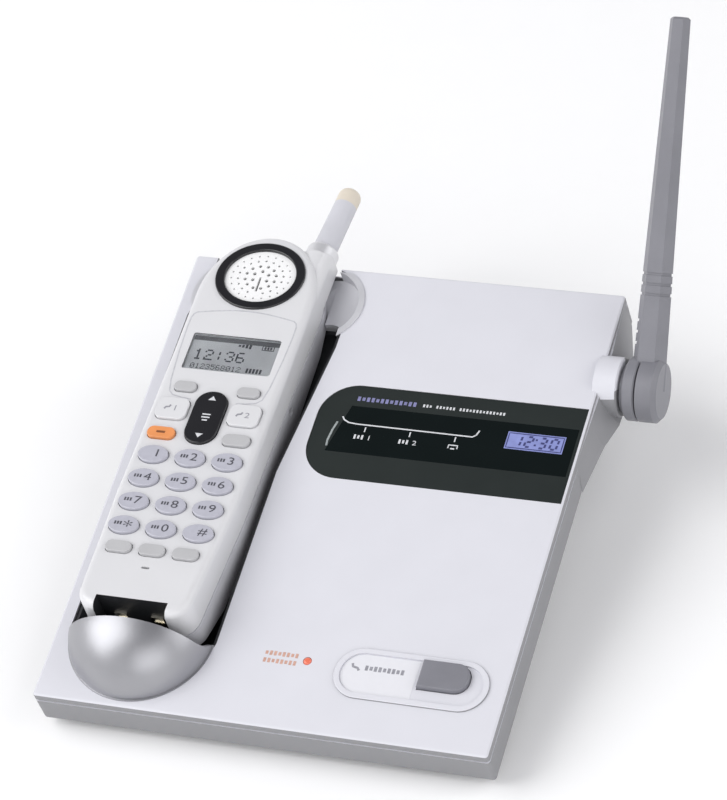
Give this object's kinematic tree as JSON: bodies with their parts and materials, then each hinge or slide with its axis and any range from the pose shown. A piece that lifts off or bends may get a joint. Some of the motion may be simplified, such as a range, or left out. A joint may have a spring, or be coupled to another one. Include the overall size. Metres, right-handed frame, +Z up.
{
  "type": "cordless phone with base",
  "caption": "Cordless telephone handset lying in a sloped charging base with a swivelling side antenna, dark display window, silver cradle cup and oval handset-locator button.",
  "frame": {"origin": "centre of the whole object's footprint, at table height", "axes": "+X to the object's right, +Y to its rear, +Z up"},
  "size_m": [0.2032, 0.2635, 0.1565],
  "materials": {
    "pale_plastic": "fine satin",
    "dark_grey_plastic": "satin",
    "charcoal_plastic": "fine grain",
    "silver_plastic": "satin silver paint",
    "contact_metal": "plated",
    "black_gloss": "gloss",
    "smoked_lens": "gloss",
    "badge_plastic": "gloss",
    "led_plastic": "gloss",
    "lit_led_plastic": "gloss",
    "button_plastic": "satin",
    "circuit_board": "satin",
    "screw_steel": "plated",
    "socket_plastic": "satin",
    "foot_rubber": "matt",
    "mast_plastic": "satin",
    "antenna_wire": "bare",
    "white_plastic": "satin",
    "back_plastic": "satin",
    "lcd_clear": "clear",
    "lcd_panel": "satin",
    "mat_rubber": "matt",
    "dial_key_plastic": "satin",
    "grey_key_plastic": "satin",
    "orange_key_plastic": "satin",
    "battery_wrap": "satin",
    "stub_rubber": "satin",
    "collar_silver": "satin silver paint",
    "tip_plastic": "satin"
  },
  "bodies": {
    "base": {"base_top_cover": "pale_plastic", "base_bottom_cover": "dark_grey_plastic", "cradle_liner": "charcoal_plastic", "cradle_rest": "silver_plastic", "cradle_cup": "silver_plastic", "base_charge_contacts": "contact_metal", "display_bezel": "black_gloss", "display_lens": "smoked_lens", "display_badge": "badge_plastic", "line_leds": "led_plastic", "charge_led": "lit_led_plastic", "base_main_board": "circuit_board", "base_screws": "screw_steel", "line_sockets": "socket_plastic", "dc_jack": "socket_plastic", "rubber_feet": "foot_rubber", "antenna_pivot": "screw_steel"},
    "locator_button": {"locator_button": "button_plastic"},
    "base_antenna": {"antenna_mast": "mast_plastic", "antenna_core": "antenna_wire"},
    "handset": {"handset_front_case": "white_plastic", "handset_back_case": "back_plastic", "earpiece_ring": "black_gloss", "earpiece_grille": "white_plastic", "earpiece_speaker": "socket_plastic", "lcd_window": "lcd_clear", "lcd_module": "lcd_panel", "handset_board": "circuit_board", "keypad_mat": "mat_rubber", "microphone": "socket_plastic", "handset_charge_contacts": "contact_metal", "headset_jack": "socket_plastic", "battery_pack": "battery_wrap", "handset_screws": "screw_steel", "handset_antenna": "stub_rubber", "antenna_collar": "collar_silver", "antenna_tip": "tip_plastic"},
    "battery_cover": {"battery_cover": "back_plastic"},
    "key_star": {"key_star": "dial_key_plastic"},
    "key_0": {"key_0": "dial_key_plastic"},
    "key_hash": {"key_hash": "dial_key_plastic"},
    "key_7": {"key_7": "dial_key_plastic"},
    "key_8": {"key_8": "dial_key_plastic"},
    "key_9": {"key_9": "dial_key_plastic"},
    "key_4": {"key_4": "dial_key_plastic"},
    "key_5": {"key_5": "dial_key_plastic"},
    "key_6": {"key_6": "dial_key_plastic"},
    "key_1": {"key_1": "dial_key_plastic"},
    "key_2": {"key_2": "dial_key_plastic"},
    "key_3": {"key_3": "dial_key_plastic"},
    "menu_key_left": {"menu_key_left": "grey_key_plastic"},
    "menu_key_middle": {"menu_key_middle": "grey_key_plastic"},
    "menu_key_right": {"menu_key_right": "grey_key_plastic"},
    "soft_key_left": {"soft_key_left": "grey_key_plastic"},
    "soft_key_right": {"soft_key_right": "grey_key_plastic"},
    "line_1_key": {"line_1_key": "white_plastic"},
    "line_2_key": {"line_2_key": "white_plastic"},
    "orange_key": {"orange_key": "orange_key_plastic"},
    "function_key": {"function_key": "grey_key_plastic"},
    "navigator_key": {"navigator_key": "black_gloss"}
  },
  "joints": [
    {"name": "handset_lift", "type": "slide", "parent": "base", "child": "handset", "axis": [0, -0.2079, 0.9781], "range_m": [0, 0.08]},
    {"name": "locator_button_press", "type": "slide", "parent": "base", "child": "locator_button", "axis": [0, 0.2079, -0.9781], "range_m": [0, 0.0012], "stiffness_N_per_m": 800, "springref_m": -0.0004},
    {"name": "antenna_swivel", "type": "hinge", "parent": "base", "child": "base_antenna", "pos_m": [0.0857, 0.0365, 0.04762], "axis": [1, 0, 0], "range_deg": [-37, 143]},
    {"name": "battery_cover_slide", "type": "slide", "parent": "handset", "child": "battery_cover", "axis": [0, -0.9877, -0.1564], "range_m": [0, 0.018]},
    {"name": "key_star_press", "type": "slide", "parent": "handset", "child": "key_star", "axis": [0, 0.1211, -0.9926], "range_m": [0, 0.0007], "stiffness_N_per_m": 1000, "springref_m": -0.0003},
    {"name": "key_0_press", "type": "slide", "parent": "handset", "child": "key_0", "axis": [0, 0.1211, -0.9926], "range_m": [0, 0.0007], "stiffness_N_per_m": 1000, "springref_m": -0.0003},
    {"name": "key_hash_press", "type": "slide", "parent": "handset", "child": "key_hash", "axis": [0, 0.1211, -0.9926], "range_m": [0, 0.0007], "stiffness_N_per_m": 1000, "springref_m": -0.0003},
    {"name": "key_7_press", "type": "slide", "parent": "handset", "child": "key_7", "axis": [0, 0.1287, -0.9917], "range_m": [0, 0.0007], "stiffness_N_per_m": 1000, "springref_m": -0.0003},
    {"name": "key_8_press", "type": "slide", "parent": "handset", "child": "key_8", "axis": [0, 0.1287, -0.9917], "range_m": [0, 0.0007], "stiffness_N_per_m": 1000, "springref_m": -0.0003},
    {"name": "key_9_press", "type": "slide", "parent": "handset", "child": "key_9", "axis": [0, 0.1287, -0.9917], "range_m": [0, 0.0007], "stiffness_N_per_m": 1000, "springref_m": -0.0003},
    {"name": "key_4_press", "type": "slide", "parent": "handset", "child": "key_4", "axis": [0, 0.1363, -0.9907], "range_m": [0, 0.0007], "stiffness_N_per_m": 1000, "springref_m": -0.0003},
    {"name": "key_5_press", "type": "slide", "parent": "handset", "child": "key_5", "axis": [0, 0.1363, -0.9907], "range_m": [0, 0.0007], "stiffness_N_per_m": 1000, "springref_m": -0.0003},
    {"name": "key_6_press", "type": "slide", "parent": "handset", "child": "key_6", "axis": [0, 0.1363, -0.9907], "range_m": [0, 0.0007], "stiffness_N_per_m": 1000, "springref_m": -0.0003},
    {"name": "key_1_press", "type": "slide", "parent": "handset", "child": "key_1", "axis": [0, 0.1439, -0.9896], "range_m": [0, 0.0007], "stiffness_N_per_m": 1000, "springref_m": -0.0003},
    {"name": "key_2_press", "type": "slide", "parent": "handset", "child": "key_2", "axis": [0, 0.1439, -0.9896], "range_m": [0, 0.0007], "stiffness_N_per_m": 1000, "springref_m": -0.0003},
    {"name": "key_3_press", "type": "slide", "parent": "handset", "child": "key_3", "axis": [0, 0.1439, -0.9896], "range_m": [0, 0.0007], "stiffness_N_per_m": 1000, "springref_m": -0.0003},
    {"name": "menu_key_left_press", "type": "slide", "parent": "handset", "child": "menu_key_left", "axis": [0, 0.1143, -0.9934], "range_m": [0, 0.0007], "stiffness_N_per_m": 1000, "springref_m": -0.0003},
    {"name": "menu_key_middle_press", "type": "slide", "parent": "handset", "child": "menu_key_middle", "axis": [0, 0.1143, -0.9934], "range_m": [0, 0.0007], "stiffness_N_per_m": 1000, "springref_m": -0.0003},
    {"name": "menu_key_right_press", "type": "slide", "parent": "handset", "child": "menu_key_right", "axis": [0, 0.1143, -0.9934], "range_m": [0, 0.0007], "stiffness_N_per_m": 1000, "springref_m": -0.0003},
    {"name": "soft_key_left_press", "type": "slide", "parent": "handset", "child": "soft_key_left", "axis": [0, 0.1661, -0.9861], "range_m": [0, 0.0007], "stiffness_N_per_m": 1000, "springref_m": -0.0003},
    {"name": "soft_key_right_press", "type": "slide", "parent": "handset", "child": "soft_key_right", "axis": [0, 0.1661, -0.9861], "range_m": [0, 0.0007], "stiffness_N_per_m": 1000, "springref_m": -0.0003},
    {"name": "line_1_key_press", "type": "slide", "parent": "handset", "child": "line_1_key", "axis": [0, 0.1588, -0.9873], "range_m": [0, 0.0007], "stiffness_N_per_m": 1000, "springref_m": -0.0003},
    {"name": "line_2_key_press", "type": "slide", "parent": "handset", "child": "line_2_key", "axis": [0, 0.1588, -0.9873], "range_m": [0, 0.0007], "stiffness_N_per_m": 1000, "springref_m": -0.0003},
    {"name": "orange_key_press", "type": "slide", "parent": "handset", "child": "orange_key", "axis": [0, 0.1509, -0.9885], "range_m": [0, 0.0007], "stiffness_N_per_m": 1000, "springref_m": -0.0003},
    {"name": "function_key_press", "type": "slide", "parent": "handset", "child": "function_key", "axis": [0, 0.1509, -0.9885], "range_m": [0, 0.0007], "stiffness_N_per_m": 1000, "springref_m": -0.0003},
    {"name": "navigator_key_press", "type": "slide", "parent": "handset", "child": "navigator_key", "axis": [0, 0.157, -0.9876], "range_m": [0, 0.0007], "stiffness_N_per_m": 1000, "springref_m": -0.0003}
  ]
}
